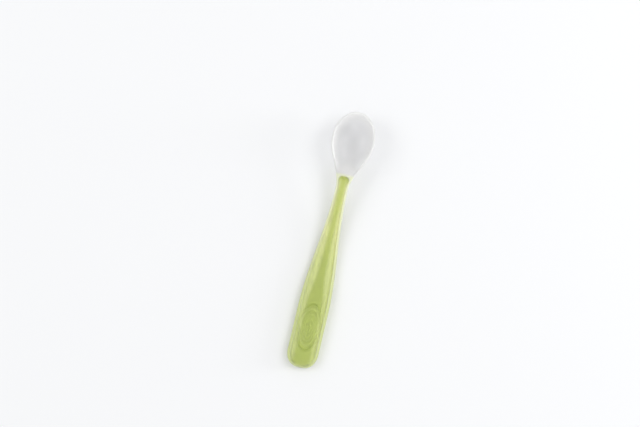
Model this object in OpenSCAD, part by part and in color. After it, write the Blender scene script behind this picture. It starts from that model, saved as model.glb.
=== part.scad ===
// Feeding spoon for a baby: a stiff green core with a clear soft silicone cover moulded
// round it. The cover alone makes the neck's skin and the whole bowl.
// X runs from the tail of the handle to the tip of the bowl, Y is across, Z is up.
// The spoon lies on the flat under its handle, with the neck and bowl held off the table.
// Unless a comment says otherwise, an x in a function is measured from the tail.

/* [Handle] */
// Length from the tail to the narrowest place of the neck
handle_l = 114.5; // [100:0.5:130]
// Width of the paddle at the back of the handle
paddle_w = 19.6; // [16:0.2:24]
// Thickness of the paddle before its underside is cut flat
paddle_t = 8.8; // [7:0.1:11]
// Distance from the tail at which the sides start to draw in
shoulder_l = 36; // [24:1:44]
// Length of the tail's rounding, seen from above
tail_l = 11; // [8:0.5:16]
// Length of the tail's rounding, seen from the side
tail_nose_l = 4.8; // [3:0.1:7]
// Distance from the tail at which the underside starts to climb
rest_l = 60; // [52:1:64]
// Depth that the flat is cut into the round underside
rest_cut = 0.4; // [0.2:0.05:0.6]

/* [Neck] */
// Width of the neck at its narrowest place
neck_w = 7.8; // [6.8:0.1:10]
// Thickness of the neck
neck_t = 4.8; // [4.4:0.1:6]
// Height that the underside climbs between the table and the bowl
neck_lift = 16; // [10:0.5:20]

/* [Bowl] */
// Width of the bowl over its rim
bowl_w = 26.8; // [22:0.2:32]
// Length from the narrowest place of the neck to the widest place of the bowl
bowl_back_l = 30.4; // [26:0.2:36]
// Length from the widest place of the bowl to its tip
bowl_front_l = 18; // [15:0.2:22]
// Depth of the hollow below the rim
bowl_d = 6.6; // [5:0.1:9]
// Height of the wall under the middle of the hollow
bowl_wall_t = 1.7; // [1.2:0.1:2.4]
// Width of the rounded rim
rim_w = 1.5; // [1:0.1:2]
// Height of the rim's crown above the spoon's edge
rim_crown = 0.45; // [0.2:0.05:0.8]
// Depth of the rim's rounding below the spoon's edge
rim_root = 0.6; // [0.3:0.05:1]
// Drop of the rim from the widest place to the tip
tip_drop = 1.2; // [0:0.1:3]

/* [Core] */
// Thickness of the silicone beside the core
skin_side = 1.25; // [0.8:0.05:1.6]
// Thickness of the silicone above and below the core
skin_flat = 1.15; // [0.8:0.05:1.4]
// Length of the core's tang past the narrowest place of the neck
tang_l = 8; // [5:0.1:9]
// Length of the rounding at the end of the tang
tang_round_l = 3.6; // [2.4:0.1:5]
// Width of the core's flat top on the paddle
flat_w = 9; // [7:0.2:11]
// Distance from the tail at which the flat top starts to draw in to a crest
crest_from_l = 36; // [30:1:44]
// Distance from the tail at which the crest has its own width
crest_at_l = 64; // [56:1:70]
// Width of the crest where it has drawn in
crest_w = 2.2; // [1.8:0.1:3.2]
// Width of the crest at the end of the tang
crest_end_w = 1.6; // [1.2:0.1:2.4]
// Height that the core loses from its flat top or crest down to its sides
flank_d = 1.2; // [0.8:0.1:1.6]

/* [Thumb rest] */
// Length of the oval thumb rest
thumb_l = 29; // [20:0.5:32]
// Width of the oval thumb rest
thumb_w = 13; // [9:0.2:15]
// Depth of the thumb rest's dish
thumb_d = 0.5; // [0.2:0.05:0.7]
// Distance from the tail to the middle of the thumb rest
thumb_mid_l = 26; // [22:0.5:32]

/* [Hidden] */

spoon_l = handle_l + bowl_back_l + bowl_front_l;
bowl_mid_l = handle_l + bowl_back_l;
tang_end_l = handle_l + tang_l;

// The hollow and the bowl's section begin where the tang is rounding off. The share is
// that of the way to the widest place on which the neck's oval turns into the bowl's shell.
bowl_start_l = tang_end_l - tang_round_l;
blend_share = 0.62;
bowl_blend_l = (bowl_mid_l - bowl_start_l) * blend_share;

// Roundness of an outline or a section: 2 is an ellipse, more is squarer, less is keener.
tail_round = 2.4;
paddle_round = 2.6;
neck_round = 2.1;
shell_round = 2.6;

// Share of the half width at which a solid section's side rounding starts
side_share = 0.85;
// Least share of the half width that the rings near the tip give to the rim's inner edge
tip_side_share = 0.5;
// Most of the core's half thickness that its flanks take away
flank_share = 0.8;
// Most of the core's half width that its flat top or crest takes
crest_share = 0.7;

// Steps along the spoon: round the tail, up the handle, out to the widest place and
// round the tip. The core has its own steps up the handle and round the tang.
tail_steps = 9;
handle_steps = 34;
back_steps = 15;
tip_steps = 14;
core_handle_steps = 32;
tang_steps = 6;

// Steps over half a section: across the hollow, over the rim and under the belly
hollow_steps = 6;
rim_steps = 4;
under_steps = 8;
crest_steps = 3;
flank_steps = 7;
core_under_steps = 7;

// Goes from 0 to 1 with u, level at both ends
function ease(u) = (1 - cos(180 * min(max(u, 0), 1))) / 2;

// Goes from 0 to 1 with u, at once at first and level at the end
function swell(u) = sin(90 * min(max(u, 0), 1));

// Goes from a to b as u goes from 0 to 1
function blend(a, b, u) = a + (b - a) * u;

// Height of a round arch of unit span and rise, at u from its middle
function arch(u, n) = pow(1 - pow(min(abs(u), 1), n), 1 / n);

// Same arch, as seen from its foot: 0 at the end, 1 from the given length on
function nose(x, l, n) = arch(1 - min(max(x / l, 0), 1), n);

// How far the handle has narrowed on its way from the paddle to the neck
function taper(x) = ease((x - shoulder_l) / (handle_l - shoulder_l));

// Half width of the handle and of the bowl's back, without the rounded tail
function side_y(x) =
    blend(paddle_w, neck_w, taper(x)) / 2
    + (bowl_w - neck_w) / 2 * ease((x - handle_l) / bowl_back_l);

// Half width of the spoon's outline
function half_w(x) =
    x < bowl_mid_l
    ? side_y(x) * nose(x, tail_l, tail_round)
    : bowl_w / 2 * arch((x - bowl_mid_l) / bowl_front_l, 2);

// Thickness of the handle and the neck
function thick(x) = blend(paddle_t, neck_t, taper(x));

// Height of the line round the spoon's edge, which is the middle of the handle's thickness
function edge_z(x) =
    thick(x) / 2 - rest_cut
    + neck_lift * ease((x - rest_l) / (bowl_mid_l - rest_l))
    - tip_drop * pow(max(x - bowl_mid_l, 0) / bowl_front_l, 2);

// Share of the bowl's section in the section at x
function bowl_share(x) = ease((x - bowl_start_l) / bowl_blend_l);

// Share of the full depth that the bowl has at x
function depth_share(x) = ease((x - bowl_start_l) / (bowl_mid_l - bowl_start_l));

// 0 on the bowl's middle line, 1 on its outline
function reach(x, y) =
    x < bowl_mid_l
    ? min(abs(y) / half_w(x), 1)
    : min(norm([(x - bowl_mid_l) / bowl_front_l, y / (bowl_w / 2)]), 1);

// Reach of the rim's inner edge
function lip_reach(x) = 1 - rim_w / side_y(min(x, bowl_mid_l));

// Y of the place where the rings put the rim's inner edge
function lip_y(x) =
    x < bowl_mid_l
    ? half_w(x) * blend(side_share, lip_reach(x), bowl_share(x))
    : max(half_w(x) * tip_side_share,
          bowl_w / 2 * sqrt(max(pow(lip_reach(x), 2) - pow((x - bowl_mid_l) / bowl_front_l, 2), 0)));

// Height of the hollow's floor or of the rim's crown, from the edge
function bowl_top(x, y) =
    let (r = reach(x, y), lip = lip_reach(x))
    r < lip
    ? -bowl_d * depth_share(x) * (1 - pow(r / lip, shell_round))
    : rim_crown * (1 - pow(2 * (r - lip) / (1 - lip) - 1, 2));

// Depth of the bowl's belly, from the edge
function bowl_under(x, y) =
    let (r = reach(x, y), lip = lip_reach(x))
    rim_root * arch(max(r - lip, 0) / (1 - lip), 2)
    + (bowl_d * depth_share(x) + bowl_wall_t - rim_root) * (1 - pow(r, shell_round));

// Depth of the thumb rest's dish
function dish(x, y) =
    let (r = norm([(x - thumb_mid_l) / (thumb_l / 2), y / (thumb_w / 2)]))
    thumb_d * ease(1 - r);

// Roundness of the handle's section
function section_round(x) = blend(paddle_round, neck_round, taper(x));

// Half thickness of the handle, with the rounded tail
function half_t(x) = thick(x) / 2 * nose(x, tail_nose_l, 2);

// Upper and lower surface of the cover
function cover_top(x, y) =
    edge_z(x) - dish(x, y)
    + blend(half_t(x) * arch(y / half_w(x), section_round(x)), bowl_top(x, y), bowl_share(x));

function cover_under(x, y) =
    max(0, edge_z(x)
        - blend(half_t(x) * arch(y / half_w(x), section_round(x)), bowl_under(x, y), bowl_share(x)));

// The core's outline is the cover's, drawn in by the skin and rounded at the tang's end
function core_half_w(x) =
    (side_y(x) - skin_side)
    * nose(x - skin_side, tail_l - skin_side, tail_round)
    * nose(tang_end_l - x, tang_round_l, 2);

function core_half_t(x) =
    (thick(x) / 2 - skin_flat)
    * nose(x - skin_side, tail_nose_l - skin_side, 2)
    * nose(tang_end_l - x, tang_round_l, 2);

// The core's top is flat along the middle of the paddle, and draws in to a crest that runs
// on to the end of the tang
function crest_w_at(x) =
    x < crest_at_l
    ? blend(flat_w, crest_w, ease((x - crest_from_l) / (crest_at_l - crest_from_l)))
    : blend(crest_w, crest_end_w, (x - crest_at_l) / (tang_end_l - crest_at_l));

function crest_y(x) = min(crest_w_at(x) / 2, core_half_w(x) * crest_share);

// Height that the flank has lost at y, beside the crest
function flank_drop(x, y) =
    min(flank_d, core_half_t(x) * flank_share)
    * swell((abs(y) - crest_y(x)) / (core_half_w(x) - crest_y(x)));

function core_top(x, y) =
    edge_z(x) - dish(x, y)
    + (core_half_t(x) - flank_drop(x, y)) * arch(y / core_half_w(x), section_round(x));

function core_under(x, y) =
    max(skin_flat, edge_z(x) - core_half_t(x) * arch(y / core_half_w(x), section_round(x)));

// Distances that crowd towards the end, as seen along a quarter circle
function crowd(from, to, n) = [for (i = [1:n]) blend(from, to, sin(90 * i / n))];
function spread(from, to, n) = [for (i = [1:n]) blend(from, to, 1 - cos(90 * i / n))];
function even(from, to, n) = [for (i = [1:n]) blend(from, to, i / n)];

// A list turned back to front, and the same distances on the other side
function back(list) = [for (i = [len(list) - 1:-1:0]) list[i]];
function other(list) = [for (v = list) -v];

// All but the last of a list
function but_last(list) = [for (i = [0:len(list) - 2]) list[i]];

// One ring round the cover: over the top from +Y to -Y, and back underneath
function cover_ring(x) =
    let (
        inner = crowd(0, lip_y(x), hollow_steps),
        outer = crowd(lip_y(x), half_w(x), rim_steps),
        top = concat(inner, outer),
        under = but_last(crowd(0, half_w(x), under_steps))
    )
    concat(
        [for (y = concat(back(top), [0], other(top)))
            [x, y, abs(y) < half_w(x) ? cover_top(x, y) : edge_z(x)]],
        [for (y = concat(other(back(under)), [0], under)) [x, y, cover_under(x, y)]]
    );

// One ring round the core
function core_ring(x) =
    let (
        crest = even(0, crest_y(x), crest_steps),
        top = concat(crest, crowd(crest_y(x), core_half_w(x), flank_steps)),
        under = but_last(crowd(0, core_half_w(x), core_under_steps))
    )
    concat(
        [for (y = concat(back(top), [0], other(top)))
            [x, y, abs(y) < core_half_w(x) ? core_top(x, y) : edge_z(x)]],
        [for (y = concat(other(back(under)), [0], under)) [x, y, core_under(x, y)]]
    );

// A closed skin over rings of equal count, with a point at each end
module skin_over(rings, first, last) {
    count = len(rings[0]);
    end = len(rings) * count;
    points = concat([for (ring = rings) each ring], [first, last]);
    sides = [for (i = [0:len(rings) - 2]) for (k = [0:count - 1])
        let (a = i * count + k, b = i * count + (k + 1) % count)
        each [[a, a + count, b], [b, a + count, b + count]]];
    tail = [for (k = [0:count - 1]) [end, k, (k + 1) % count]];
    tip = [for (k = [0:count - 1]) [end + 1, end - count + (k + 1) % count, end - count + k]];
    polyhedron(points, concat(sides, tail, tip), convexity = 6);
}

// Outside of the whole spoon
module spoon_body() {
    stations = concat(
        spread(0, tail_l, tail_steps),
        even(tail_l, handle_l, handle_steps),
        even(handle_l, bowl_mid_l, back_steps),
        but_last(crowd(bowl_mid_l, spoon_l, tip_steps))
    );
    skin_over(
        [for (x = stations) cover_ring(x)],
        [0, 0, edge_z(0)],
        [spoon_l, 0, edge_z(spoon_l)]
    );
}

// Outside of the core, from the rounded paddle to the rounded end of the tang
module core_body() {
    stations = concat(
        spread(skin_side, tail_l, tail_steps),
        even(tail_l, tang_end_l - tang_round_l, core_handle_steps),
        but_last(crowd(tang_end_l - tang_round_l, tang_end_l, tang_steps))
    );
    skin_over(
        [for (x = stations) core_ring(x)],
        [skin_side, 0, edge_z(skin_side)],
        [tang_end_l, 0, edge_z(tang_end_l)]
    );
}

// Stiff plastic inside the handle: a paddle, a crest along the top and a tang in the neck
module handle_core() {
    color([0.66, 0.74, 0.33])
        translate([-spoon_l / 2, 0, 0])
            core_body();
}

// Soft silicone moulded round the core, which fills its cavity face to face
module silicone_cover() {
    color([0.86, 0.88, 0.86, 0.5])
        translate([-spoon_l / 2, 0, 0])
            difference() {
                spoon_body();
                core_body();
            }
}

handle_core();
silicone_cover();
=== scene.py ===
"""A feeding spoon for a baby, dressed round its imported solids.

The row frame is in metres: +X runs from the tail of the handle to the tip of the bowl, +Y is
across, and +Z is up out of the bowl's hollow. The spoon lies on the flat under its handle.
"""

import logging
import math
from dataclasses import dataclass, fields
from enum import Enum
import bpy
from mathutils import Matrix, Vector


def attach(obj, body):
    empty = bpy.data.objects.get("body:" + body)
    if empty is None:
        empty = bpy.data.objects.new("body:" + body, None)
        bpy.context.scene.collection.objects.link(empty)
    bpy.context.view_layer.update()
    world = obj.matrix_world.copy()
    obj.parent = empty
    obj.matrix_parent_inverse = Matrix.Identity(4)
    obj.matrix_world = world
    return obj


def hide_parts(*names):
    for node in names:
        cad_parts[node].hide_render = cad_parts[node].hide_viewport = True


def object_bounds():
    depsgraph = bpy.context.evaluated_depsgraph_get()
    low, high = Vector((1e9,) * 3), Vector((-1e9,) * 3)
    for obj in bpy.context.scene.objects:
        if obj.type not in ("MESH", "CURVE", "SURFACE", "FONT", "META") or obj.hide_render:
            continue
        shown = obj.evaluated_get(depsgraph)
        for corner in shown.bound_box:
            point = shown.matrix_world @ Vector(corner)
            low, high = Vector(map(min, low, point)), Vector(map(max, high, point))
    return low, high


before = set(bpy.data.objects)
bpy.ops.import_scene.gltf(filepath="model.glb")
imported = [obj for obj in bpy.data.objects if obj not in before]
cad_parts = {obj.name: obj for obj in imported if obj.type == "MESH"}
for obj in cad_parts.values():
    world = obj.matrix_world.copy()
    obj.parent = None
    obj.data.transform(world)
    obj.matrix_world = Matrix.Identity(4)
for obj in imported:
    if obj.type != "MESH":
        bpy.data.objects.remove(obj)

from types import SimpleNamespace

import bpy
from mathutils import Matrix, Vector

CAD_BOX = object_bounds()
LOG = logging.getLogger("spoon")
MM = 0.001
LEAST_L = 0.001 * MM  # Shortest length that anything is divided by.
LEAST_SHARE = 0.001  # Smallest share that anything is divided by.
LENGTH_SLACK = 0.05 * MM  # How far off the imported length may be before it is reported.
ELLIPSE = 2.0  # Power of an arch that is half an ellipse.
Colour = tuple[float, float, float]
Scale = tuple[float, float, float]
Span = tuple[float, float]


@dataclass(frozen=True)
class SpoonSizes:
    """Lengths of the spoon in metres, as in the part's source, and what else shapes its sections.

    A share is a part of a length, and a round is the power of a section's arch. edge_milk is the
    depth that the silicone seems to have at the cover's edge, and the soft lengths are those over
    which its depth changes beside the core and past the core's end.
    """

    handle_l: float = 114.5 * MM
    paddle_w: float = 19.6 * MM
    paddle_t: float = 8.8 * MM
    shoulder_l: float = 36 * MM
    tail_l: float = 11 * MM
    tail_nose_l: float = 4.8 * MM
    rest_l: float = 60 * MM
    rest_cut: float = 0.4 * MM
    neck_w: float = 7.8 * MM
    neck_t: float = 4.8 * MM
    neck_lift: float = 16 * MM
    bowl_w: float = 26.8 * MM
    bowl_back_l: float = 30.4 * MM
    bowl_front_l: float = 18 * MM
    bowl_d: float = 6.6 * MM
    bowl_wall_t: float = 1.7 * MM
    rim_w: float = 1.5 * MM
    rim_crown: float = 0.425 * MM
    rim_root: float = 0.6 * MM
    tip_drop: float = 1.2 * MM
    skin_side: float = 1.25 * MM
    skin_flat: float = 1.15 * MM
    tang_l: float = 8 * MM
    tang_round_l: float = 3.6 * MM
    flat_w: float = 9 * MM
    crest_from_l: float = 36 * MM
    crest_at_l: float = 64 * MM
    crest_w: float = 2.2 * MM
    crest_end_w: float = 1.6 * MM
    flank_d: float = 1.2 * MM
    thumb_l: float = 29 * MM
    thumb_w: float = 13 * MM
    thumb_d: float = 0.5 * MM
    thumb_mid_l: float = 26 * MM
    blend_share: float = 0.62
    flank_share: float = 0.8
    crest_share: float = 0.7
    edge_milk: float = 2.8 * MM
    soft_side_l: float = 0.8 * MM
    soft_end_l: float = 1.8 * MM
    tail_round: float = 2.4
    paddle_round: float = 2.6
    neck_round: float = 2.1
    shell_round: float = 2.6


@dataclass(frozen=True)
class GripSizes:
    """Sizes in metres of the moulded ripples on the thumb rest."""

    ripple_h: float = 0.1 * MM
    ripple_count: int = 5
    groove_d: float = 0.35 * MM
    groove_share: float = 0.08


class Wall(Enum):
    """Which skin a loft makes."""

    COVER = "cover"
    CORE = "core"
    CAVITY = "cavity"


class Field:
    """A number that a tree works out at every point, so that a rule reads as it does on paper."""

    def __init__(self, graph: "Graph", socket: bpy.types.NodeSocket) -> None:
        """Keeps the tree and the socket that carries the number."""
        self.graph = graph
        self.socket = socket

    def __add__(self, other: "Term") -> "Field":
        """Sum."""
        return self.graph.math("ADD", self, other)

    def __radd__(self, other: "Term") -> "Field":
        """Sum."""
        return self.graph.math("ADD", other, self)

    def __sub__(self, other: "Term") -> "Field":
        """Difference."""
        return self.graph.math("SUBTRACT", self, other)

    def __rsub__(self, other: "Term") -> "Field":
        """Difference."""
        return self.graph.math("SUBTRACT", other, self)

    def __mul__(self, other: "Term") -> "Field":
        """Product."""
        return self.graph.math("MULTIPLY", self, other)

    def __truediv__(self, other: "Term") -> "Field":
        """Quotient."""
        return self.graph.math("DIVIDE", self, other)

    def __rtruediv__(self, other: "Term") -> "Field":
        """Quotient."""
        return self.graph.math("DIVIDE", other, self)

    def __pow__(self, other: "Term") -> "Field":
        """Power."""
        return self.graph.math("POWER", self, other)

    def __neg__(self) -> "Field":
        """Negative."""
        return self.graph.math("MULTIPLY", self, -1.0)

    def __abs__(self) -> "Field":
        """Size without its sign."""
        return self.graph.math("ABSOLUTE", self)

    def least(self, other: "Term") -> "Field":
        """The smaller of the two."""
        return self.graph.math("MINIMUM", self, other)

    def most(self, other: "Term") -> "Field":
        """The larger of the two."""
        return self.graph.math("MAXIMUM", self, other)

    def cos(self) -> "Field":
        """Cosine."""
        return self.graph.math("COSINE", self)

    def below(self, other: "Term") -> "Field":
        """1 where it is less than the other, and 0 elsewhere."""
        return self.graph.math("LESS_THAN", self, other)


Term = Field | float


class Graph:
    """A Geometry Nodes tree that is written as formulas, with a named input for every size."""

    def __init__(self, name: str) -> None:
        """Starts an empty tree.

        Args:
            name: the tree's name.
        """
        self.tree = bpy.data.node_groups.new(name, "GeometryNodeTree")
        face = self.tree.interface
        face.new_socket("Geometry", in_out="OUTPUT", socket_type="NodeSocketGeometry")
        self.entry = self.tree.nodes.new("NodeGroupInput")
        self.values: dict[str, float | int] = {}

    def add(self, kind: str, **settings: object) -> bpy.types.Node:
        """Adds a node.

        Args:
            kind: Blender's name for the node.
            settings: properties of the node itself.

        Returns:
            The node.
        """
        node = self.tree.nodes.new(kind)
        for name, value in settings.items():
            setattr(node, name, value)
        return node

    def feed(self, socket: bpy.types.NodeSocket, value: object) -> None:
        """Gives an input its value.

        Args:
            socket: the input.
            value: a field, another node's output or a plain value.
        """
        if isinstance(value, Field):
            value = value.socket
        if isinstance(value, bpy.types.NodeSocket):
            self.tree.links.new(value, socket)
        else:
            socket.default_value = value

    def size(self, name: str, value: float | int) -> Field:
        """Adds a named input to the tree.

        Args:
            name: what the input is called.
            value: what the modifier sets it to.

        Returns:
            The input as a field.
        """
        kind = "NodeSocketInt" if isinstance(value, int) else "NodeSocketFloat"
        item = self.tree.interface.new_socket(name, in_out="INPUT", socket_type=kind)
        item.default_value = value
        self.values[item.identifier] = value
        found = next(s for s in self.entry.outputs if s.identifier == item.identifier)
        return Field(self, found)

    def sizes(self, record: SpoonSizes | GripSizes) -> SimpleNamespace:
        """Adds a named input for every field of a record of sizes.

        Args:
            record: the sizes.

        Returns:
            The inputs as fields, under the record's own names.
        """
        made = {}
        for item in fields(record):
            title = item.name.replace("_", " ").capitalize()
            made[item.name] = self.size(title, getattr(record, item.name))
        return SimpleNamespace(**made)

    def math(self, operation: str, *terms: Term) -> Field:
        """Adds a Math node.

        Args:
            operation: Blender's name for what it does.
            terms: the numbers that it works on.

        Returns:
            Its result.
        """
        node = self.add("ShaderNodeMath", operation=operation)
        for socket, term in zip(node.inputs, terms):
            self.feed(socket, term)
        return Field(self, node.outputs[0])

    def point(self, x: Term, y: Term, z: Term) -> bpy.types.NodeSocket:
        """Adds a Combine XYZ node.

        Args:
            x: place along the spoon.
            y: place across it.
            z: height above the table.

        Returns:
            Its vector.
        """
        node = self.add("ShaderNodeCombineXYZ")
        for socket, term in zip(node.inputs, (x, y, z)):
            self.feed(socket, term)
        return node.outputs[0]

    def finish(self, shape: bpy.types.NodeSocket, material: bpy.types.Material) -> None:
        """Ends the tree in smooth shading, Realize Instances and Set Material.

        Args:
            shape: the geometry that was made.
            material: the finish that it gets.
        """
        smooth = self.add("GeometryNodeSetShadeSmooth")
        real = self.add("GeometryNodeRealizeInstances")
        dress = self.add("GeometryNodeSetMaterial")
        out = self.add("NodeGroupOutput")
        self.feed(smooth.inputs["Geometry"], shape)
        self.feed(real.inputs["Geometry"], smooth.outputs[0])
        self.feed(dress.inputs["Geometry"], real.outputs[0])
        dress.inputs["Material"].default_value = material
        self.feed(out.inputs[0], dress.outputs[0])

    def mesh(self, name: str) -> bpy.types.Object:
        """Runs the tree once and keeps its result as a plain mesh at the origin.

        Args:
            name: the piece's name.

        Returns:
            The piece.
        """
        piece = bpy.data.objects.new(name, bpy.data.meshes.new(name))
        bpy.context.scene.collection.objects.link(piece)
        rule = piece.modifiers.new("rule", "NODES")
        rule.node_group = self.tree
        for identifier, value in self.values.items():
            rule[identifier] = value
        bpy.context.view_layer.update()
        graph = bpy.context.evaluated_depsgraph_get()
        made = bpy.data.meshes.new_from_object(
            piece.evaluated_get(graph), preserve_all_data_layers=True, depsgraph=graph
        )
        piece.modifiers.clear()
        made.name = name
        piece.data = made
        return piece


def ease(u: Field) -> Field:
    """Goes from 0 to 1 with u, level at both ends."""
    return 0.5 - (u.most(0.0).least(1.0) * math.pi).cos() * 0.5


def swell(u: Field) -> Field:
    """Goes from 0 to 1 with u, at once at first and level at the end."""
    return ((1.0 - u.most(0.0).least(1.0)) * (math.pi * 0.5)).cos()


def blend(a: Term, b: Term, u: Field) -> Field:
    """Goes from a to b as u goes from 0 to 1."""
    return a + (b - a) * u


def arch(u: Field, n: Term) -> Field:
    """Height of a round arch of unit span and rise, at u from its middle."""
    return (1.0 - abs(u).least(1.0) ** n) ** (1.0 / n)


def nose(x: Field, length: Field, n: Term) -> Field:
    """The same arch as seen from its foot: 0 at the end, 1 from that length on."""
    return arch(1.0 - (x / length).most(0.0).least(1.0), n)


def norm(a: Field, b: Field) -> Field:
    """Length of the line with the sides a and b."""
    return (a * a + b * b) ** 0.5


def creased(column: Field, own: float, crease: Field) -> Field:
    """Share of the half width at which a column of a loft lies.

    Args:
        column: the column's place, from -1 to 1.
        own: place of the column that is to lie on the section's crease.
        crease: the crease's share of the half width.

    Returns:
        The share, which keeps the column's sign.
    """
    size = abs(column)
    outer = crease + (size - own) / (1.0 - own) * (1.0 - crease)
    return column * blend(outer / size.most(LEAST_SHARE), crease / own, size.below(own))


class Section:
    """The rule of the spoon's cross section at x from the tail, for the cover and the core.

    LEAST_BACK keeps the tip's last section from dividing by nothing, and LEAST_LIP is the share at
    which the rim's inner edge stops drawing in towards the tip.
    """

    LEAST_BACK = 0.01
    LEAST_LIP = 0.35

    def __init__(self, k: SimpleNamespace, x: Field) -> None:
        """Works out what is the same all over the section.

        Args:
            k: the spoon's sizes as fields.
            x: distance from the tail.
        """
        self.k, self.x = k, x
        mid = k.handle_l + k.bowl_back_l
        start = k.handle_l + k.tang_l - k.tang_round_l
        taper = ease((x - k.shoulder_l) / (k.handle_l - k.shoulder_l))
        self.side = blend(k.paddle_w, k.neck_w, taper) * 0.5 + (k.bowl_w - k.neck_w) * 0.5 * ease(
            (x - k.handle_l) / k.bowl_back_l
        )
        self.front = ((x - mid) / k.bowl_front_l).most(0.0).least(1.0)
        self.half_w = self.side * nose(x, k.tail_l, k.tail_round) * arch(self.front, ELLIPSE)
        self.thick = blend(k.paddle_t, k.neck_t, taper)
        self.edge = (
            self.thick * 0.5
            - k.rest_cut
            + k.neck_lift * ease((x - k.rest_l) / (mid - k.rest_l))
            - k.tip_drop * self.front * self.front
        )
        self.bowl = ease((x - start) / ((mid - start) * k.blend_share))
        self.depth = ease((x - start) / (mid - start)) * k.bowl_d
        self.round = blend(k.paddle_round, k.neck_round, taper)
        self.lip = 1.0 - k.rim_w / self.side
        self.half_t = self.thick * 0.5 * nose(x, k.tail_nose_l, ELLIPSE)

    def lip_share(self) -> Field:
        """Finds the rim's inner edge.

        Returns:
            The share of the half width at which it lies.
        """
        front = self.front * self.front
        left = (self.lip * self.lip - front) / (1.0 - front).most(self.LEAST_BACK)
        return (left.most(0.0) ** 0.5).most(self.LEAST_LIP)

    def thumb_reach(self, y: Field) -> Field:
        """0 in the middle of the thumb rest, 1 on its outline."""
        k = self.k
        return norm((self.x - k.thumb_mid_l) / (k.thumb_l * 0.5), y / (k.thumb_w * 0.5))

    def dish(self, y: Field) -> Field:
        """Depth of the thumb rest's dish at y."""
        return self.k.thumb_d * ease(1.0 - self.thumb_reach(y))

    def reach(self, u: Field) -> Field:
        """0 on the bowl's middle line, 1 on its outline, at the share u of the half width."""
        front = self.front * self.front
        return (front + (1.0 - front) * u * u) ** 0.5

    def cover_top(self, y: Field, u: Field) -> Field:
        """Height of the cover's upper side.

        Args:
            y: distance from the middle.
            u: the same as a share of the half width.

        Returns:
            The height above the table.
        """
        k, r = self.k, self.reach(u)
        crown = ((r - self.lip) / (1.0 - self.lip)) * 2.0 - 1.0
        hollow = -self.depth * (1.0 - (r / self.lip).least(1.0) ** k.shell_round)
        rim = k.rim_crown * (1.0 - crown * crown)
        shell = blend(rim, hollow, r.below(self.lip))
        return self.edge - self.dish(y) + blend(self.half_t * arch(u, self.round), shell, self.bowl)

    def cover_under(self, u: Field) -> Field:
        """Height of the cover's underside.

        Args:
            u: distance from the middle as a share of the half width.

        Returns:
            The height above the table.
        """
        k, r = self.k, self.reach(u)
        root = k.rim_root * arch((r - self.lip).most(0.0) / (1.0 - self.lip), ELLIPSE)
        belly = (self.depth + k.bowl_wall_t - k.rim_root) * (1.0 - r.least(1.0) ** k.shell_round)
        drop = blend(self.half_t * arch(u, self.round), root + belly, self.bowl)
        return (self.edge - drop).most(0.0)

    def core(self, inset: Term) -> tuple[Field, Field]:
        """Section of the core, or of a skin inside its surface.

        Args:
            inset: how far inside the surface the skin lies.

        Returns:
            Its half width and half thickness.
        """
        k = self.k
        beside, flat = k.skin_side + inset, k.skin_flat + inset
        left = k.handle_l + k.tang_l - inset - self.x
        end = nose(left, k.tang_round_l, ELLIPSE)
        x = self.x - beside
        half_w = (self.side - beside) * nose(x, k.tail_l - beside, k.tail_round)
        half_t = (self.thick * 0.5 - flat) * nose(x, k.tail_nose_l - beside, ELLIPSE)
        return half_w * end, half_t * end

    def crest(self, half_w: Field) -> Field:
        """Half width of the core's flat top, which draws in from the paddle to a crest.

        Args:
            half_w: the core's own half width.

        Returns:
            The half width of the flat top.
        """
        k = self.k
        drawn = ease((self.x - k.crest_from_l) / (k.crest_at_l - k.crest_from_l))
        run = (self.x - k.crest_at_l) / (k.handle_l + k.tang_l - k.crest_at_l)
        before = self.x.below(k.crest_at_l)
        own = blend(k.crest_w, k.crest_end_w, run)
        wide = blend(own, blend(k.flat_w, k.crest_w, drawn), before)
        return (wide * 0.5).least(half_w * k.crest_share)

    def core_top(self, y: Field, u: Field, half_w: Field, half_t: Field) -> Field:
        """Height of the core's upper side.

        Args:
            y: distance from the middle.
            u: the same as a share of the core's half width.
            half_w: the core's half width.
            half_t: the core's half thickness.

        Returns:
            The height above the table.
        """
        crest = self.crest(half_w)
        fall = swell((abs(y) - crest) / (half_w - crest).most(LEAST_L))
        drop = (half_t * self.k.flank_share).least(self.k.flank_d) * fall
        return self.edge - self.dish(y) + (half_t - drop) * arch(u, self.round)

    def core_under(self, u: Field, half_t: Field, inset: Term) -> Field:
        """Height of the core's underside at the share u of its half width."""
        return (self.edge - half_t * arch(u, self.round)).most(self.k.skin_flat + inset)


@dataclass(frozen=True)
class LoftSteps:
    """How finely a loft is divided round its section and along the spoon."""

    around: int
    along: int


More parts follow.
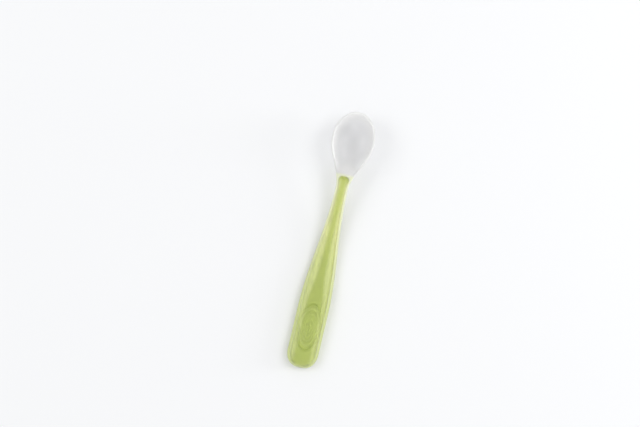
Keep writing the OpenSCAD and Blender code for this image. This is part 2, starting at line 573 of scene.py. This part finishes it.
class Loft:
    """A closed skin over the spoon's cross sections, made by Geometry Nodes.

    WELD is the distance within which its two ends close. LIP_COLUMN and CREST_COLUMN are the
    columns that lie on the rim's inner edge and on the edge of the core's crest. CREST_LEAST is the
    crest's least share of the half width, RIM_FADE the share over which the rim's white fades
    inwards, and EDGE_POWER says how close to the edge the cover turns milky.
    """

    WELD = 0.0005 * MM
    LIP_COLUMN = 0.8
    CREST_COLUMN = 0.5
    CREST_LEAST = 0.05
    RIM_FADE = 0.3
    EDGE_POWER = 8.0

    def __init__(self, graph: Graph, k: SimpleNamespace, wall: Wall, inset: Term = 0.0) -> None:
        """Keeps what the skin is made from.

        Args:
            graph: the tree that makes it.
            k: the spoon's sizes as fields.
            wall: which skin it is.
            inset: how far a cavity's wall lies inside the core's surface.
        """
        self.graph, self.k, self.wall, self.inset = graph, k, wall, inset

    def skin(self, steps: LoftSteps, grip: SimpleNamespace | None = None) -> bpy.types.NodeSocket:
        """Adds the nodes of the skin.

        Args:
            steps: its divisions.
            grip: sizes of the thumb rest's ripples, where the skin has them.

        Returns:
            The skin's geometry.
        """
        graph, k, name = self.graph, self.k, self.wall.value.capitalize()
        tube = graph.add("GeometryNodeMeshCylinder", fill_type="NONE")
        graph.feed(tube.inputs["Vertices"], graph.size(f"{name} steps around", steps.around))
        graph.feed(tube.inputs["Side Segments"], graph.size(f"{name} steps along", steps.along))
        graph.feed(tube.inputs["Radius"], 1.0)
        graph.feed(tube.inputs["Depth"], 1.0)
        place = graph.add("ShaderNodeSeparateXYZ")
        graph.feed(place.inputs[0], graph.add("GeometryNodeInputPosition").outputs[0])
        # The tube's X is the column across the spoon, its Y tells the upper side from the
        # underside, and its Z runs from the tail to the tip.
        column, up, run = (Field(graph, place.outputs[i]) for i in range(3))
        spoon_l = k.handle_l + k.bowl_back_l + k.bowl_front_l
        cover = self.wall is Wall.COVER
        first = 0.0 if cover else k.skin_side + self.inset
        last = spoon_l if cover else k.handle_l + k.tang_l - self.inset
        x = blend(first, last, ease(run + 0.5))
        at = Section(k, x)
        shape = tube.outputs["Mesh"]
        below = up.below(0.0)
        if cover:
            u = creased(column, self.LIP_COLUMN, at.lip_share())
            y = at.half_w * u
            top = at.cover_top(y, u)
            if grip:
                top = top + self.ripples(at, y, grip)
            under = at.cover_under(u)
            reach = at.reach(u)
            edge = reach**self.EDGE_POWER * k.edge_milk
            deep = self.deep(at, y, top, under, below) + edge
            shape = self.keep(shape, "silicone_deep", deep)
            # The rim mask whitens the rim in the finish: partly milkier silicone, partly a painted
            # highlight.
            rim = at.bowl * ease((reach - at.lip) / self.RIM_FADE + 1.0)
            shape = self.keep(shape, "silicone_rim", rim)
        else:
            half_w, half_t = at.core(self.inset)
            crest = at.crest(half_w) / half_w.most(LEAST_L)
            u = creased(column, self.CREST_COLUMN, crest.most(self.CREST_LEAST))
            y = half_w * u
            top = at.core_top(y, u, half_w, half_t)
            under = at.core_under(u, half_t, self.inset)
            share = y / at.half_w.most(LEAST_L)
            skin = at.cover_top(y, share)
            if grip:
                skin = skin + self.ripples(at, y, grip)
            over = blend(skin - top, under - at.cover_under(share), below)
            shape = self.keep(shape, "silicone_over", over)
        move = graph.add("GeometryNodeSetPosition")
        graph.feed(move.inputs["Geometry"], shape)
        z = blend(top, under, below)
        graph.feed(move.inputs["Position"], graph.point(x - spoon_l * 0.5, y, z))
        weld = graph.add("GeometryNodeMergeByDistance")
        graph.feed(weld.inputs["Geometry"], move.outputs[0])
        graph.feed(weld.inputs["Distance"], self.WELD)
        if self.wall is not Wall.CAVITY:
            return weld.outputs[0]
        flip = graph.add("GeometryNodeFlipFaces")
        graph.feed(flip.inputs[0], weld.outputs[0])
        return flip.outputs[0]

    def deep(self, at: Section, y: Field, top: Field, under: Field, below: Field) -> Field:
        """How much silicone lies straight under or over a point of the cover.

        Args:
            at: the section.
            y: distance from the middle.
            top: height of the cover's upper side there.
            under: height of its underside.
            below: 1 on the underside, 0 on the upper side.

        Returns:
            The depth to the core, or through the cover where there is no core.
        """
        k = self.k
        half_w, half_t = at.core(0.0)
        u = y / half_w.most(LEAST_L)
        over = top - at.core_top(y, u, half_w, half_t)
        hung = at.core_under(u, half_t, 0.0) - under
        wide = at.core(k.soft_end_l * -0.5)[0] - (k.soft_end_l - k.soft_side_l) * 0.5
        beside = ease((wide - abs(y)) / k.soft_side_l)
        before = ease((k.handle_l + k.tang_l - at.x) / k.soft_end_l + 0.5)
        return blend(top - under, blend(over, hung, below), beside * before)

    def keep(self, shape: bpy.types.NodeSocket, name: str, value: Field) -> bpy.types.NodeSocket:
        """Stores a number on every point.

        Args:
            shape: the geometry.
            name: the attribute's name.
            value: the number.

        Returns:
            The geometry with the attribute.
        """
        store = self.graph.add("GeometryNodeStoreNamedAttribute", data_type="FLOAT", domain="POINT")
        self.graph.feed(store.inputs["Geometry"], shape)
        self.graph.feed(store.inputs["Name"], name)
        self.graph.feed(store.inputs["Value"], value)
        return store.outputs[0]

    @staticmethod
    def ripples(at: Section, y: Field, grip: SimpleNamespace) -> Field:
        """Height of the thumb rest's ripples and of the groove round them.

        Args:
            at: the section.
            y: distance from the middle.
            grip: the ripples' sizes.

        Returns:
            What they add to the cover's upper side.
        """
        reach = at.thumb_reach(y)
        inside = ease((1.0 - reach) / (grip.groove_share * 2.0))
        waves = (reach * grip.ripple_count * (2.0 * math.pi)).cos() * grip.ripple_h
        near = 1.0 - (abs(reach - 1.0) / grip.groove_share).least(1.0)
        return waves * inside - grip.groove_d * ease(near)


class Shader:
    """A node material that is being put together.

    MIDDLE is the part of a number from 0 to 1 that span spreads out.
    """

    MIDDLE = (0.3, 0.7)

    def __init__(self, name: str) -> None:
        """Starts a material with a Principled shader.

        Args:
            name: the material's name.
        """
        self.material = bpy.data.materials.new(name)
        self.material.use_nodes = True
        self.tree = self.material.node_tree
        self.surface = self.tree.nodes["Principled BSDF"]
        self.place = self.tree.nodes.new("ShaderNodeTexCoord").outputs["Object"]

    def add(self, kind: str, inputs: dict[str | int, object], **settings: object) -> bpy.types.Node:
        """Adds a node and feeds its inputs.

        Args:
            kind: Blender's name for the node.
            inputs: a value or another node's output for each named input.
            settings: properties of the node itself.

        Returns:
            The node.
        """
        node = self.tree.nodes.new(kind)
        for name, value in settings.items():
            setattr(node, name, value)
        for name, value in inputs.items():
            self.feed(node.inputs[name], value)
        return node

    def feed(self, socket: bpy.types.NodeSocket, value: object) -> None:
        """Gives an input its value.

        Args:
            socket: the input.
            value: another node's output or a plain value.
        """
        if isinstance(value, bpy.types.NodeSocket):
            self.tree.links.new(value, socket)
        else:
            socket.default_value = value

    def set(self, **values: float) -> None:
        """Sets plain values on the Principled shader, with underscores for the spaces in a name."""
        for name, value in values.items():
            self.surface.inputs[name.replace("_", " ")].default_value = value

    def stretched(self, scale: Scale) -> bpy.types.NodeSocket:
        """The piece's own coordinates, stretched by a scale for each axis."""
        node = self.add("ShaderNodeMapping", {"Vector": self.place, "Scale": scale})
        return node.outputs[0]

    def noise(
        self, scale: float, detail: float = 2.0, place: object = None
    ) -> bpy.types.NodeSocket:
        """Soft spots.

        Args:
            scale: how many there are to a metre.
            detail: how many finer layers lie over them.
            place: coordinates to use in place of the piece's own.

        Returns:
            A number from 0 to 1.
        """
        inputs = {"Vector": place or self.place, "Scale": scale, "Detail": detail}
        return self.add("ShaderNodeTexNoise", inputs).outputs[0]

    def span(self, value: bpy.types.NodeSocket, low: float, high: float) -> bpy.types.NodeSocket:
        """The middle part of a number from 0 to 1, spread from low to high.

        Args:
            value: the number.
            low: the result where the middle part starts.
            high: the result where it ends.

        Returns:
            The result.
        """
        inputs = {"Value": value, "From Min": self.MIDDLE[0], "From Max": self.MIDDLE[1]}
        inputs |= {"To Min": low, "To Max": high}
        return self.add("ShaderNodeMapRange", inputs).outputs[0]

    def attribute(self, name: str) -> bpy.types.NodeSocket:
        """The number that the mesh carries under that name."""
        return self.add("ShaderNodeAttribute", {}, attribute_name=name).outputs["Fac"]

    def slope(
        self, value: bpy.types.NodeSocket, source: Span, target: Span
    ) -> bpy.types.NodeSocket:
        """A number that goes smoothly over one span while the value goes over another.

        Args:
            value: the number that leads.
            source: where it starts and ends.
            target: what the result is there.

        Returns:
            The result.
        """
        inputs = {"Value": value, "From Min": source[0], "From Max": source[1]}
        inputs |= {"To Min": target[0], "To Max": target[1]}
        return self.add("ShaderNodeMapRange", inputs, interpolation_type="SMOOTHSTEP").outputs[0]

    def mix(self, share: object, a: object, b: object) -> bpy.types.NodeSocket:
        """A colour between two.

        Args:
            share: how far from the first to the second.
            a: the first colour.
            b: the second colour.

        Returns:
            The colour.
        """
        node = self.tree.nodes.new("ShaderNodeMix")
        node.data_type = "RGBA"
        for socket, value in ((node.inputs[0], share), (node.inputs[6], a), (node.inputs[7], b)):
            self.feed(socket, (*value, 1.0) if isinstance(value, tuple) else value)
        return node.outputs[2]

    def mix_value(self, share: object, a: object, b: object) -> bpy.types.NodeSocket:
        """A number between two, at that share of the way."""
        inputs = {"Factor": share, "A": a, "B": b}
        return self.add("ShaderNodeMix", inputs, data_type="FLOAT").outputs[0]

    def bump(self, height: bpy.types.NodeSocket, depth: float) -> bpy.types.NodeSocket:
        """The normal of a fine relief, from a height of 0 to 1 and the depth in metres at 1."""
        inputs = {"Height": height, "Distance": depth, "Strength": 1.0}
        return self.add("ShaderNodeBump", inputs).outputs[0]


@dataclass(frozen=True)
class SiliconeFinish:
    """Clear silicone with a satin skin, milkier where it is deeper, coloured in its milky parts by
    painted green light from the core, and whiter at the rim, partly as a painted highlight.

    The scales are spots to a metre, and detail is how many finer layers the satin and the waves
    have. The spans in metres are places along the spoon, from its middle.
    """

    name: str = "clear_silicone"
    clear: Colour = (0.845, 0.84, 0.842)
    cloudy: Colour = (0.80, 0.795, 0.797)
    thin: Colour = (0.985, 0.99, 0.985)
    # white is the rim's colour: partly the milkier silicone of the thick rim, partly a painted
    # highlight.
    white: Colour = (0.97, 0.97, 0.965)
    # These two colours are milky silicone coloured by painted green light that the core scatters
    # into it.
    paddle_core_light: Colour = (0.74, 0.81, 0.36)
    neck_core_light: Colour = (0.89, 0.92, 0.58)
    paler: Span = (-48 * MM, 8 * MM)
    tang_end: Span = (40.5 * MM, 43 * MM)
    clearness: Span = (0.985, 0.35)
    milk_from: float = 1.1 * MM
    milk_to: float = 4.5 * MM
    bend: float = 1.41
    cloud_scale: float = 110.0
    detail: float = 1.0
    satin: Span = (0.285, 0.33)
    satin_scale: float = 150.0
    frosting: Span = (0.0, 0.12)
    waves: float = 0.03 * MM
    wave_scale: float = 220.0
    gloss: float = 0.3
    gloss_rough: float = 0.18

    def material(self) -> bpy.types.Material:
        """Builds the node material.

        Returns:
            The material.
        """
        shader = Shader(self.name)
        surface = shader.surface.inputs
        rim = shader.attribute("silicone_rim")
        clouds = shader.span(shader.noise(self.cloud_scale), 0.0, 1.0)
        bare = shader.mix(clouds, self.clear, self.cloudy)
        along = shader.add("ShaderNodeSeparateXYZ", {0: shader.place}).outputs[0]
        paler = shader.slope(along, self.paler, (0.0, 1.0))
        past = shader.slope(along, self.tang_end, (0.0, 1.0))
        deep = shader.attribute("silicone_deep")
        milky = shader.slope(deep, (self.milk_from, self.milk_to), (0.0, 1.0))
        # Painted light: the milky silicone takes the core's scattered green light as its colour.
        core_light = shader.mix(paler, self.paddle_core_light, self.neck_core_light)
        milk_and_core_light = shader.mix(milky, self.thin, core_light)
        # Painted highlight in part: the rim's base colour is whitened, besides its silicone being
        # milkier.
        whitened = shader.mix(rim, bare, self.white)
        shader.feed(surface["Base Color"], shader.mix(past, milk_and_core_light, whitened))
        clear = shader.span(milky, *self.clearness)
        shader.feed(surface["Transmission Weight"], clear)
        satin = shader.span(shader.noise(self.satin_scale, self.detail), *self.satin)
        frosted = shader.mix_value(rim, shader.span(past, *self.frosting), 0.0)
        shader.feed(surface["Roughness"], shader.mix_value(frosted, satin, 1.0))
        relief = shader.bump(shader.noise(self.wave_scale, self.detail), self.waves)
        shader.feed(surface["Normal"], relief)
        shader.set(IOR=self.bend, Coat_Weight=self.gloss, Coat_Roughness=self.gloss_rough)
        return shader.material


@dataclass(frozen=True)
class CoreFinish:
    """Satin yellow-green plastic, paler where more silicone lies over it, and darkened at the
    tang's rounded end by painted shade.

    The scales are spots to a metre. veil is a span of the silicone's depth, and the other spans in
    metres are places along the spoon, from its middle.
    """

    name: str = "green_core"
    paddle: Colour = (0.44, 0.54, 0.05)
    neck: Colour = (0.58, 0.685, 0.09)
    brighter: Span = (-20 * MM, 10 * MM)
    streak: float = 0.06
    flow_scale: float = 60.0
    flow_detail: float = 3.0
    flow_stretch: Scale = (0.25, 1.0, 1.0)
    paddle_pale: Colour = (0.81, 0.87, 0.37)
    neck_pale: Colour = (0.94, 0.96, 0.49)
    veil: Span = (0.7 * MM, 2.1 * MM)
    # nose is painted shade: a darker green where the tang's rounded end turns away from the light.
    nose: Colour = (0.52, 0.59, 0.115)
    nose_shade_span: Span = (36 * MM, 40.5 * MM)
    bend: float = 1.2
    satin: Span = (0.42, 0.55)
    satin_scale: float = 160.0
    grain: float = 0.012 * MM
    grain_scale: float = 500.0

    def material(self) -> bpy.types.Material:
        """Builds the node material.

        Returns:
            The material.
        """
        shader = Shader(self.name)
        surface = shader.surface.inputs
        along = shader.add("ShaderNodeSeparateXYZ", {0: shader.place}).outputs[0]
        brighter = shader.slope(along, self.brighter, (0.0, 1.0))
        own = shader.mix(brighter, self.paddle, self.neck)
        pale = shader.mix(brighter, self.paddle_pale, self.neck_pale)
        over = shader.attribute("silicone_over")
        veiled = shader.mix(shader.slope(over, self.veil, (0.0, 1.0)), own, pale)
        drawn = shader.stretched(self.flow_stretch)
        flow = shader.noise(self.flow_scale, self.flow_detail, drawn)
        streaks = shader.span(flow, 0.0, self.streak)
        # Painted shade: the colour darkens towards the tang's rounded end.
        nose = shader.slope(along, self.nose_shade_span, (0.0, 1.0))
        streaked = shader.mix(streaks, veiled, pale)
        shader.feed(surface["Base Color"], shader.mix(nose, streaked, self.nose))
        satin = shader.span(shader.noise(self.satin_scale), *self.satin)
        shader.feed(surface["Roughness"], satin)
        relief = shader.bump(shader.noise(self.grain_scale), self.grain)
        shader.feed(surface["Normal"], relief)
        shader.set(IOR=self.bend)
        return shader.material


@dataclass
class HandleCore:
    """The stiff plastic core: paddle, crest and tang."""

    sizes: SpoonSizes
    grip: GripSizes = GripSizes()
    finish: CoreFinish = CoreFinish()
    steps: LoftSteps = LoftSteps(128, 420)

    def build(self) -> bpy.types.Object:
        """Makes the core, which stands for its solid.

        Returns:
            The finished piece.
        """
        graph = Graph("core_rule")
        k, grip = graph.sizes(self.sizes), graph.sizes(self.grip)
        skin = Loft(graph, k, Wall.CORE).skin(self.steps, grip)
        graph.finish(skin, self.finish.material())
        return placed(graph.mesh("green_handle_core"), "handle_core")


@dataclass
class SiliconeCover:
    """The soft cover: a skin round the core, the neck and the whole bowl.

    Its cavity lies cavity_inset inside the core's surface, so that no air shows between the two.
    """

    sizes: SpoonSizes
    grip: GripSizes = GripSizes()
    finish: SiliconeFinish = SiliconeFinish()
    outside: LoftSteps = LoftSteps(160, 480)
    inside: LoftSteps = LoftSteps(72, 200)
    cavity_inset: float = 0.03 * MM

    def build(self) -> bpy.types.Object:
        """Makes the cover with its cavity, which stands for its solid.

        Returns:
            The finished piece.
        """
        graph = Graph("cover_rule")
        k = graph.sizes(self.sizes)
        inset = graph.size("Cavity inset", self.cavity_inset)
        skin = Loft(graph, k, Wall.COVER).skin(self.outside, graph.sizes(self.grip))
        cavity = Loft(graph, k, Wall.CAVITY, inset).skin(self.inside)
        both = graph.add("GeometryNodeJoinGeometry")
        graph.feed(both.inputs[0], cavity)
        graph.feed(both.inputs[0], skin)
        graph.finish(both.outputs[0], self.finish.material())
        return placed(graph.mesh("clear_silicone_cover"), "silicone_cover")


def placed(piece: bpy.types.Object, node: str) -> bpy.types.Object:
    """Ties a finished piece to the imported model.

    Args:
        piece: the piece, in place.
        node: the solid that it stands for.

    Returns:
        The piece.
    """
    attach(piece, "root")
    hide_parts(node)
    piece.data.calc_loop_triangles()
    LOG.info("%s: %d triangles, stands for %s", piece.name, len(piece.data.loop_triangles), node)
    return piece


class Side(Enum):
    """Where a lamp stands, in metres across and up the picture and towards the lens."""

    KEY = (1.3, 0.5, 2.0)
    FILL = (-1.4, 0.4, 1.7)
    STRIP = (1.0, 0.05, 0.12)


@dataclass(frozen=True)
class Lamp:
    """An area lamp, with its sizes in metres.

    level is the light that it alone gives on the floor, and mirrored says whether gloss shows it.
    """

    side: Side
    width: float
    height: float
    level: float
    mirrored: bool = False


@dataclass
class Studio:
    """The pale floor, the soft light and the camera.

    turn is how far the spoon leans in the picture, scale the metres to one of its pixels, and
    middle how many pixels its middle lies across and up from the spoon's own. lens and sensor are
    in millimetres. sky is the world's light on the pieces, and backdrop is what the camera and
    gloss see of it.
    """

    turn: float = math.radians(13.3)
    scale: float = 0.621 * MM
    middle: tuple[float, float] = (-9.4, 27.2)
    lens: float = 100.0
    sensor: float = 36.0
    picture_w: int = 640
    focus_z: float = 10 * MM
    clip: Span = (0.01, 20.0)
    floor: Colour = (0.905, 0.912, 0.925)
    floor_half: float = 3.0
    floor_rough: float = 0.9
    sky: float = 0.7
    backdrop: float = 0.97
    lamps: tuple[Lamp, ...] = (
        Lamp(Side.KEY, 1.2, 1.2, 0.18),
        Lamp(Side.FILL, 1.2, 1.2, 0.15),
        Lamp(Side.STRIP, 0.2, 0.7, 0.045, mirrored=True),
    )

    def axes(self) -> tuple[Vector, Vector, Vector]:
        """Turns the picture's own directions into the row frame's.

        Returns:
            The picture's right, its up, and the way towards the lens.
        """
        right = Vector((math.sin(self.turn), -math.cos(self.turn), 0.0))
        up = Vector((math.cos(self.turn), math.sin(self.turn), 0.0))
        return right, up, Vector((0.0, 0.0, 1.0))

    def build(self) -> None:
        """Makes the floor, the lamps, the world and the camera."""
        self.make_floor()
        for lamp in self.lamps:
            self.make_lamp(lamp)
        self.make_world()
        self.make_camera()

    def make_floor(self) -> None:
        """Lays the floor under the spoon."""
        mesh = bpy.data.meshes.new("floor")
        half = self.floor_half
        corners = [(-half, -half, 0), (half, -half, 0), (half, half, 0), (-half, half, 0)]
        mesh.from_pydata(corners, [], [(0, 1, 2, 3)])
        floor = bpy.data.objects.new("floor", mesh)
        bpy.context.scene.collection.objects.link(floor)
        shader = Shader("pale_floor")
        shader.surface.inputs["Base Color"].default_value = (*self.floor, 1.0)
        shader.set(Roughness=self.floor_rough, Specular_IOR_Level=0.0)
        mesh.materials.append(shader.material)
        LOG.info("floor: level with the spoon's flat")

    def make_lamp(self, lamp: Lamp) -> None:
        """Hangs one lamp, aimed at the middle of the spoon.

        Its power follows from its level, its distance and how steeply it shines on the floor.

        Args:
            lamp: the lamp.
        """
        light = bpy.data.lights.new(lamp.side.name.lower(), "AREA")
        light.shape, light.size, light.size_y = "RECTANGLE", lamp.width, lamp.height
        right, up, out = self.axes()
        across, along, towards = lamp.side.value
        spot = right * across + up * along + out * towards
        steep = spot.normalized().z
        light.energy = lamp.level * math.pi**2 * spot.length_squared / steep
        holder = bpy.data.objects.new(light.name, light)
        holder.location = spot
        holder.rotation_euler = spot.to_track_quat("Z", "Y").to_euler()
        holder.visible_glossy = lamp.mirrored
        bpy.context.scene.collection.objects.link(holder)
        LOG.info("lamp %s: level %.2f", light.name, lamp.level)

    def make_world(self) -> None:
        """Sets an even sky, which the camera, gloss and silicone see as a pale backdrop."""
        world = bpy.data.worlds.new("sky")
        world.use_nodes = True
        bpy.context.scene.world = world
        nodes, links = world.node_tree.nodes, world.node_tree.links
        back = nodes["Background"]
        back.inputs["Color"].default_value = (1.0, 1.0, 1.0, 1.0)
        path = nodes.new("ShaderNodeLightPath")
        pick = nodes.new("ShaderNodeMapRange")
        pick.inputs["To Min"].default_value = self.backdrop
        pick.inputs["To Max"].default_value = self.sky
        links.new(path.outputs["Is Diffuse Ray"], pick.inputs["Value"])
        links.new(pick.outputs[0], back.inputs["Strength"])

    def make_camera(self) -> None:
        """Hangs the camera straight above, turned as the photograph is."""
        camera = bpy.data.cameras.new("camera")
        camera.lens, camera.sensor_width = self.lens, self.sensor
        camera.clip_start, camera.clip_end = self.clip
        right, up, out = self.axes()
        high = self.picture_w * self.scale * self.lens / self.sensor
        spot = (right * self.middle[0] + up * self.middle[1]) * self.scale
        spot += out * (high + self.focus_z)
        holder = bpy.data.objects.new("camera", camera)
        turned = Matrix((right, up, out)).transposed().to_4x4()
        holder.matrix_world = Matrix.Translation(spot) @ turned
        bpy.context.scene.collection.objects.link(holder)
        bpy.context.scene.camera = holder
        LOG.info("camera: %.0f mm lens, %.2f m above the floor", self.lens, spot.z)


def main() -> None:
    """Builds the spoon and its studio."""
    logging.basicConfig(level=logging.INFO, format="%(name)s: %(message)s")
    sizes = SpoonSizes()
    spoon_l = sizes.handle_l + sizes.bowl_back_l + sizes.bowl_front_l
    packed = CAD_BOX[1].x - CAD_BOX[0].x
    if abs(packed - spoon_l) > LENGTH_SLACK:
        LOG.warning("the packed spoon is %.2f mm long, not %.2f", packed / MM, spoon_l / MM)
    HandleCore(sizes).build()
    SiliconeCover(sizes).build()
    Studio().build()
    bpy.context.scene.view_settings.view_transform = "Standard"


if __name__ == "__main__":
    main()
